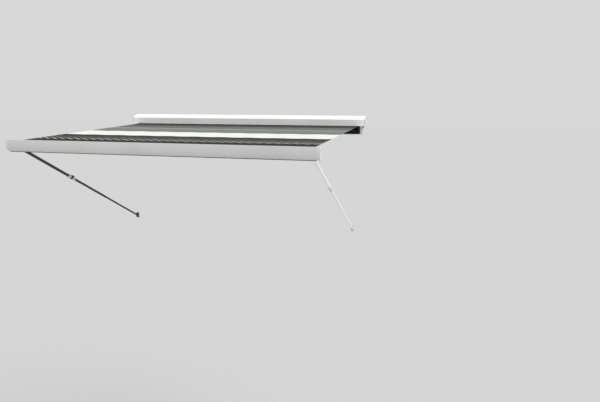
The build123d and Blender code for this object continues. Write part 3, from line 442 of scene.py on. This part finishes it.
def striped_cloth(name):
    """Woven cloth whose stripes follow the UV map, in metres from the case's back."""
    material, shader = new_material(name)
    place = add_node(material, "ShaderNodeUVMap", {"uv_map": "cut"})
    split = add_node(
        material, "ShaderNodeSeparateXYZ", links={"Vector": place.outputs["UV"]}
    )
    last_edge = STRIPES[-1][1]
    share = add_node(
        material,
        "ShaderNodeMath",
        {"operation": "DIVIDE", 1: last_edge},
        {0: split.outputs["Y"]},
    )
    ramp = add_node(material, "ShaderNodeValToRGB", links={"Fac": share.outputs["Value"]})
    ramp.color_ramp.interpolation = "CONSTANT"
    ramp.color_ramp.elements[0].color = tone(STRIPES[0][0])
    ramp.color_ramp.elements.remove(ramp.color_ramp.elements[1])
    for (_, start), (colour, _) in zip(STRIPES, STRIPES[1:]):
        ramp.color_ramp.elements.new(start / last_edge).color = tone(colour)
    slant = add_node(
        material,
        "ShaderNodeMath",
        {"operation": "MULTIPLY", 1: CRESCENT_SLANT},
        {0: split.outputs["Y"]},
    )
    place_along = add_node(
        material,
        "ShaderNodeMath",
        {"operation": "SUBTRACT"},
        {0: split.outputs["X"], 1: slant.outputs["Value"]},
    )
    turn = add_node(
        material,
        "ShaderNodeMath",
        {"operation": "MULTIPLY", 1: 2 * math.pi / CRESCENT_SPACING},
        {0: place_along.outputs["Value"]},
    )
    wave = add_node(
        material, "ShaderNodeMath", {"operation": "SINE"}, {0: turn.outputs["Value"]}
    )
    crest = add_node(material, "ShaderNodeMapRange", links={"Value": wave.outputs["Value"]})
    band = add_node(material, "ShaderNodeValToRGB", links={"Fac": share.outputs["Value"]})
    band.color_ramp.elements.remove(band.color_ramp.elements[1])
    band.color_ramp.elements[0].color = (0, 0, 0, 1)
    for start, strength in CRESCENT_BAND:
        stop = band.color_ramp.elements.new(start / last_edge)
        stop.color = (strength, strength, strength, 1)
    print_share = add_node(
        material,
        "ShaderNodeMath",
        {"operation": "MULTIPLY"},
        {0: crest.outputs["Result"], 1: band.outputs["Color"]},
    )
    printed = add_node(
        material,
        "ShaderNodeMix",
        {"data_type": "RGBA", "blend_type": "MIX", 7: tone(CRESCENT_COLOUR)},
        {0: print_share.outputs["Value"], 6: ramp.outputs["Color"]},
    )
    warp, weft = [
        add_node(
            material,
            "ShaderNodeTexWave",
            {
                "bands_direction": direction,
                "Scale": 1 / THREAD_SPACING / WAVE_FACTOR,
                "Distortion": 0.6,
                "Detail": 1.0,
            },
            {"Vector": place.outputs["UV"]},
        )
        for direction in ("X", "Y")
    ]
    threads = add_node(
        material,
        "ShaderNodeMath",
        {"operation": "MULTIPLY"},
        {0: warp.outputs["Fac"], 1: weft.outputs["Fac"]},
    )
    soil = add_node(
        material,
        "ShaderNodeTexNoise",
        {"Scale": SOIL_PATCHES, "Detail": 6.0, "Roughness": 0.65},
        {"Vector": place.outputs["UV"]},
    )
    soil_share = add_node(
        material,
        "ShaderNodeMapRange",
        {"From Min": 0.35, "From Max": 0.8, "To Min": 0.0, "To Max": 0.08},
        {"Value": soil.outputs["Fac"]},
    )
    worn = add_node(
        material,
        "ShaderNodeMix",
        {"data_type": "RGBA", "blend_type": "MIX", 7: tone(SOIL_COLOUR)},
        {0: soil_share.outputs["Result"], 6: printed.outputs[2]},
    )
    bump = add_node(
        material,
        "ShaderNodeBump",
        {"Strength": 0.2, "Distance": 0.0004},
        {"Height": threads.outputs["Value"]},
    )
    shader.inputs["Roughness"].default_value = 0.95
    shader.inputs["Specular IOR Level"].default_value = 0.05
    join(material, worn.outputs[2], shader, "Base Color")
    join(material, bump.outputs["Normal"], shader, "Normal")
    return material


awning_cloth = striped_cloth("acrylic_awning_cloth")


def cloth_strip(name, first, last, thickness, columns):
    """A strip of the cloth between two shares of its width."""
    clear_selection()
    bpy.ops.mesh.primitive_grid_add(
        x_subdivisions=columns, y_subdivisions=SHEET_ROWS, size=1, calc_uvs=True
    )
    strip = bpy.context.object
    strip.name = name
    cut = strip.data.uv_layers[0]
    cut.name = "cut"
    places = {}
    for vertex in strip.data.vertices:
        across = first + (vertex.co.x + 0.5) * (last - first)
        down = 0.5 - vertex.co.y
        places[vertex.index] = (across * sheet_width, back_to_sheet + down * sheet_length)
        point = sheet_start + sheet_run * down
        height = point.z + sheet_height(across, down)
        vertex.co = (sheet_low.x + across * sheet_width, point.y, height)
    for loop in strip.data.loops:
        cut.data[loop.index].uv = places[loop.vertex_index]
    strip.data.materials.append(awning_cloth)
    thick = strip.modifiers.new("thickness", "SOLIDIFY")
    thick.thickness = thickness
    thick.offset = 0
    bpy.ops.object.modifier_apply(modifier="thickness")
    bpy.ops.object.shade_smooth_by_angle(angle=math.radians(40))
    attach(strip, "case")
    return strip


sheet = cloth_strip("cloth_sheet", 0.0, 1.0, SHEET_THICKNESS, SHEET_COLUMNS)
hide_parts("fabric_sheet")

# Side hems: the cloth's edge folded over once and sewn down. It is drawn 2.2 mm thick, a
# little plumper than it is, so that its step shows.
HEM_WIDTH = 0.028
HEM_THICKNESS = 0.0022
HEM_COLUMNS = 4
hem_share = HEM_WIDTH / sheet_width
hems = [
    cloth_strip(f"cloth_hem_{side}", first, last, HEM_THICKNESS, HEM_COLUMNS)
    for side, first, last in (("left", 0.0, hem_share), ("right", 1 - hem_share, 1.0))
]

# Seams: each side hem is sewn with one row of polyester thread. Lock stitches lie on both
# faces of the cloth as short plump dashes, 3.6 mm long and 5 mm apart.
STITCH_LENGTH = 0.0036
STITCH_PITCH = 0.005
STITCH_THICKNESS = 0.0007
SEAM_INSET = 0.022
HEM_FACE = HEM_THICKNESS / 2


def twisted_thread(name, colour, groove_colour):
    """Sewing thread whose two strands show as slanted bands."""
    material, shader = new_material(name)
    place = add_node(material, "ShaderNodeTexCoord")
    twist = add_node(
        material,
        "ShaderNodeTexWave",
        {
            "bands_direction": "DIAGONAL",
            "Scale": 1 / STITCH_THICKNESS / WAVE_FACTOR,
            "Distortion": 0.4,
        },
        {"Vector": place.outputs["Object"]},
    )
    shade = add_node(material, "ShaderNodeValToRGB", links={"Fac": twist.outputs["Fac"]})
    shade.color_ramp.elements[0].color = tone(groove_colour)
    shade.color_ramp.elements[1].color = tone(colour)
    bump = add_node(
        material,
        "ShaderNodeBump",
        {"Strength": 0.4, "Distance": 0.0002},
        {"Height": twist.outputs["Fac"]},
    )
    shader.inputs["Roughness"].default_value = 0.7
    join(material, shade.outputs["Color"], shader, "Base Color")
    join(material, bump.outputs["Normal"], shader, "Normal")
    return material


sewing_thread = twisted_thread("polyester_thread", "#8b8d8b", "#5c5e5c")


def stitch_row(name, across, face):
    """A row of stitches down the cloth, at a share of its width, on one of its faces."""
    step = sheet_run.normalized() * STITCH_PITCH
    first = sheet_start + step
    clear_selection()
    bpy.ops.mesh.primitive_uv_sphere_add(segments=6, ring_count=4, radius=0.5)
    row = bpy.context.object
    row.name = name
    row.scale = (STITCH_THICKNESS, STITCH_THICKNESS, STITCH_LENGTH)
    row.rotation_mode = "QUATERNION"
    row.rotation_quaternion = sheet_run.to_track_quat("Z", "X")
    row.location = (sheet_low.x + across * sheet_width, first.y, first.z + face)
    bpy.ops.object.transform_apply(location=True, rotation=True, scale=True)
    repeat = row.modifiers.new("repeat", "ARRAY")
    repeat.use_relative_offset = False
    repeat.use_constant_offset = True
    repeat.constant_offset_displace = step
    repeat.count = int(sheet_length / STITCH_PITCH) - 2
    bpy.ops.object.modifier_apply(modifier="repeat")
    for vertex in row.data.vertices:
        down = (vertex.co.y - sheet_start.y) / sheet_run.y
        vertex.co.z += sheet_height(across, down)
    row.data.materials.append(sewing_thread)
    bpy.ops.object.shade_smooth()
    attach(row, "case")
    return row


seam_share = SEAM_INSET / sheet_width
seams = [
    stitch_row(f"seam_{side}_{face_name}", across, face)
    for side, across in (("left", seam_share), ("right", 1 - seam_share))
    for face_name, face in (("upper", HEM_FACE), ("lower", -HEM_FACE))
]

# Each piece of cloth gets a mesh of its own.
for strip in (sheet, *hems, *seams):
    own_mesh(strip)

# Cloth roll and bead: the last turns that stay on the tube, whose ends show the layers, and
# the cord in the front hem that holds the cloth in the rail. Both show the cloth's first
# stripe, with its painted shade: their UV maps start within it and rise by twice the height
# of the bar.
BAR_SIDES = 96
BAR_FROM_BACK = 0.1
BAR_STRETCH = 2
END_FACING = 0.9


def cloth_bar(name, node, layers):
    """A round bar of cloth in place of a CAD node, with layers at its ends."""
    low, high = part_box(node)
    radius = (high.z - low.z) / 2
    clear_selection()
    bpy.ops.mesh.primitive_cylinder_add(
        vertices=BAR_SIDES,
        radius=radius,
        depth=high.x - low.x,
        location=(low + high) / 2,
        rotation=(0, math.pi / 2, 0),
    )
    bar = bpy.context.object
    bar.name = name
    bpy.ops.object.transform_apply(location=True, rotation=True, scale=True)
    bpy.ops.object.mode_set(mode="EDIT")
    bpy.ops.mesh.select_all(action="DESELECT")
    bpy.ops.mesh.select_mode(type="FACE")
    bpy.ops.object.mode_set(mode="OBJECT")
    for face in bar.data.polygons:
        face.select = abs(face.normal.x) > END_FACING
    bpy.ops.object.mode_set(mode="EDIT")
    ring = radius / (layers + 2)
    for layer in range(layers):
        depth = SHEET_THICKNESS if layer % 2 else -SHEET_THICKNESS
        bpy.ops.mesh.inset(thickness=ring, depth=depth, use_individual=True)
    bpy.ops.object.mode_set(mode="OBJECT")
    cut = bar.data.uv_layers[0]
    cut.name = "cut"
    for loop in bar.data.loops:
        point = bar.data.vertices[loop.vertex_index].co
        from_back = BAR_FROM_BACK + (point.z - low.z) * BAR_STRETCH
        cut.data[loop.index].uv = (point.x, from_back)
    bar.data.materials.append(awning_cloth)
    bpy.ops.object.shade_smooth_by_angle(angle=math.radians(40))
    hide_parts(node)
    return bar


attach(cloth_bar("cloth_roll", "fabric_roll", 6), "roller")
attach(cloth_bar("cloth_bead", "fabric_bead", 1), "rail")

# Arms: box tubes with cast aluminium knuckles, all in one dark grey that is painted shade,
# for the shade under the cloth. Each casting is shot blasted, so it is matt and slightly
# sparkling.
BLAST_SIZE = 0.0025


def cast_aluminium(name, colour, pit_colour):
    """Shot blasted aluminium casting."""
    material, shader = new_material(name)
    place = add_node(material, "ShaderNodeTexCoord")
    pits = add_node(
        material,
        "ShaderNodeTexNoise",
        {"Scale": 1 / BLAST_SIZE, "Detail": 2.0},
        {"Vector": place.outputs["Object"]},
    )
    shade = add_node(material, "ShaderNodeValToRGB", links={"Fac": pits.outputs["Fac"]})
    shade.color_ramp.elements[0].position = 0.3
    shade.color_ramp.elements[0].color = tone(pit_colour)
    shade.color_ramp.elements[1].position = 0.6
    shade.color_ramp.elements[1].color = tone(colour)
    bump = add_node(
        material,
        "ShaderNodeBump",
        {"Strength": 0.3, "Distance": 0.0004},
        {"Height": pits.outputs["Fac"]},
    )
    shader.inputs["Metallic"].default_value = 1.0
    shader.inputs["Roughness"].default_value = 0.5
    join(material, shade.outputs["Color"], shader, "Base Color")
    join(material, bump.outputs["Normal"], shader, "Normal")
    return material


# The castings' dark grey is painted shade, for the shade under the cloth.
shaded_dark_casting = cast_aluminium("painted_shade_casting", "#2f3032", "#1f2021")
spring_steel = plated_steel("spring_steel", "#8d8f93", "#7c7e82", 0.3)

# The tubes of arms and legs lie at many angles, so their draw lines are left as a grain.
# Their dark grey is painted shade, for the arms under the cloth and the left leg.
shaded_dark_tube = drawn_aluminium("painted_shade_tube", "#505153", "#494a4c", 0.48, (1, 1, 1))
dress("shoulder_brackets", shaded_dark_casting)
for side in ("left", "right"):
    for name in ("upper_arm_tube", "forearm_tube"):
        dress(f"{name}_{side}", shaded_dark_tube)
    for name in (
        "shoulder_knuckle",
        "elbow_fork",
        "elbow_tongue",
        "wrist_knuckle",
        "wrist_bracket",
    ):
        dress(f"{name}_{side}", shaded_dark_casting)
    dress(f"elbow_pin_{side}", zinc)
    dress(f"elbow_cable_{side}", nylon)
    dress(f"arm_spring_{side}", spring_steel)

# Lead rail: the white front extrusion, powder coated. Its coat is drawn as a darker copy of
# the case's white, painted shade for its shaded front face. Each end is closed by a moulded
# cap in a paler white, which two screws hold. The leg hinges in it are bare castings.
cap_white = moulded_plastic("white_asa", "#dededd", "#d8d8d7", 0.42)
shaded_rail_white = powder_coat("painted_shade_rail_coat", "#d5d5d4", "#cececd")
dress("lead_rail", shaded_rail_white)
for side in ("left", "right"):
    dress(f"rail_cap_{side}", cap_white)
mill_casting = cast_aluminium("blasted_aluminium_casting", "#b4b5b7", "#8f9092")
dress("leg_hinges", mill_casting)

# Legs: three telescopic aluminium tubes each, clamped by a lever on a collar, with a bare
# cast knuckle at the top. The left one is drawn in darker copies of the right one's
# colours, dark tubes, grey nylon ends, a black lever and a grey collar: painted shade, as
# it stands in the awning's shade. The right one is powder coated white, with ends and a
# collar to match.
tube_white = powder_coat("white_tube_coat", "#fafaf9", "#f3f3f1", 0.34)
# Grey nylon for the left leg's ends: painted shade.
shaded_grey_nylon = moulded_plastic("shaded_grey_nylon", "#5f6163", "#545658", 0.5)
leg_tubes = {"left": shaded_dark_tube, "right": tube_white}
leg_ends = {"left": shaded_grey_nylon, "right": cap_white}
leg_levers = {"left": nylon, "right": cap_white}
leg_collars = {"left": cap_abs, "right": cap_white}
for side in ("left", "right"):
    dress(f"leg_knuckle_{side}", mill_casting)
    for name in ("leg_outer_tube", "leg_middle_tube", "leg_inner_tube"):
        dress(f"{name}_{side}", leg_tubes[side])
    dress(f"leg_collar_{side}", leg_collars[side])
    dress(f"clamp_lever_{side}", leg_levers[side])
    dress(f"leg_foot_{side}", leg_ends[side])
    dress(f"leg_wall_pad_{side}", leg_ends[side])

# Grip of the left leg: a ribbed rubber sleeve, pushed over the collar up to the ears of its
# lever, so that the clamp can be held while it is pulled open. Its ribs run along the leg.
# Only the shaded left leg has it, and its black is painted shade.
GRIP_LENGTH = 0.034
GRIP_RADIUS = 0.0212
GRIP_WALL = 0.0005
GRIP_PAST_TUBE = 0.056
GRIP_RIBS = 40
RIB_INSET = 0.0006
RIB_DEPTH = 0.0005
OUTER_TUBE_LENGTH = 0.881


def box_centre(node):
    """Middle of a node's box, which for a plain tube is on its axis."""
    low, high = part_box(node)
    return (low + high) / 2


outer_middle = box_centre("leg_outer_tube_left")
leg_along = (box_centre("leg_inner_tube_left") - outer_middle).normalized()
clear_selection()
bpy.ops.mesh.primitive_cylinder_add(
    vertices=GRIP_RIBS, radius=GRIP_RADIUS, depth=GRIP_LENGTH, end_fill_type="NOTHING"
)
grip = bpy.context.object
grip.name = "leg_grip_left"
bpy.ops.object.mode_set(mode="EDIT")
bpy.ops.mesh.select_mode(type="FACE")
bpy.ops.mesh.select_all(action="SELECT")
bpy.ops.mesh.inset(thickness=RIB_INSET, depth=-RIB_DEPTH, use_individual=True)
bpy.ops.object.mode_set(mode="OBJECT")
sleeve = grip.modifiers.new("wall", "SOLIDIFY")
sleeve.thickness = GRIP_WALL
sleeve.offset = -1
bpy.ops.object.modifier_apply(modifier="wall")
grip.rotation_mode = "QUATERNION"
grip.rotation_quaternion = leg_along.to_track_quat("Z", "X")
grip.location = outer_middle + leg_along * (OUTER_TUBE_LENGTH / 2 + GRIP_PAST_TUBE)
bpy.ops.object.transform_apply(location=True, rotation=True, scale=True)
grip.data.materials.append(seal_rubber)
bpy.ops.object.shade_smooth_by_angle(angle=math.radians(30))
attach(grip, "leg_outer_left")

# Studio: a pale floor that runs into an even pale sky, a wide soft sun high on the right
# and a little towards the camera, and the camera at the photograph's place. The floor is
# so low that the awning shows from underneath and its soft shadow is only a faint one.
GROUND = -6.0
FLOOR_SIZE = 400
clear_selection()
bpy.ops.mesh.primitive_plane_add(size=FLOOR_SIZE, location=(0, 0, GROUND))
ground = bpy.context.object
ground.name = "studio_ground"
pale, pale_shader = new_material("pale_paper")
pale_shader.inputs["Base Color"].default_value = tone("#bcbcbc")
pale_shader.inputs["Roughness"].default_value = 1.0
pale_shader.inputs["Specular IOR Level"].default_value = 0.0
ground.data.materials.append(pale)

world = bpy.data.worlds.new("studio_air")
bpy.context.scene.world = world
world.use_nodes = True
sky = world.node_tree.nodes["Background"]
sky.inputs["Color"].default_value = tone("#d7d7d7")
sky.inputs["Strength"].default_value = 1.0
bpy.context.scene.view_settings.view_transform = "Standard"

SUN_WIDTH = 50
SUN_TO_CAMERA = 8
SUN_TO_RIGHT = 34
sun = bpy.data.lights.new("overhead_sun", "SUN")
sun.energy = 2.5
sun.angle = math.radians(SUN_WIDTH)
sun_holder = bpy.data.objects.new("overhead_sun", sun)
sun_holder.rotation_euler = (math.radians(SUN_TO_CAMERA), math.radians(SUN_TO_RIGHT), 0)
bpy.context.scene.collection.objects.link(sun_holder)

CAMERA_PLACE = Vector((2.747, -7.080, 0.205))
CAMERA_YAW = 15.64
CAMERA_DOWN = 9.51
CAMERA_ROLL = 0.29
lens = bpy.data.cameras.new("photograph_view")
lens.lens = 33.0
lens.sensor_width = 36.0
camera = bpy.data.objects.new("photograph_view", lens)
turn = Matrix.Rotation(math.radians(CAMERA_YAW), 4, "Z")
tilt = Matrix.Rotation(math.radians(90 - CAMERA_DOWN), 4, "X")
roll = Matrix.Rotation(math.radians(CAMERA_ROLL), 4, "Z")
camera.matrix_world = Matrix.Translation(CAMERA_PLACE) @ turn @ tilt @ roll
bpy.context.scene.collection.objects.link(camera)
bpy.context.scene.camera = camera
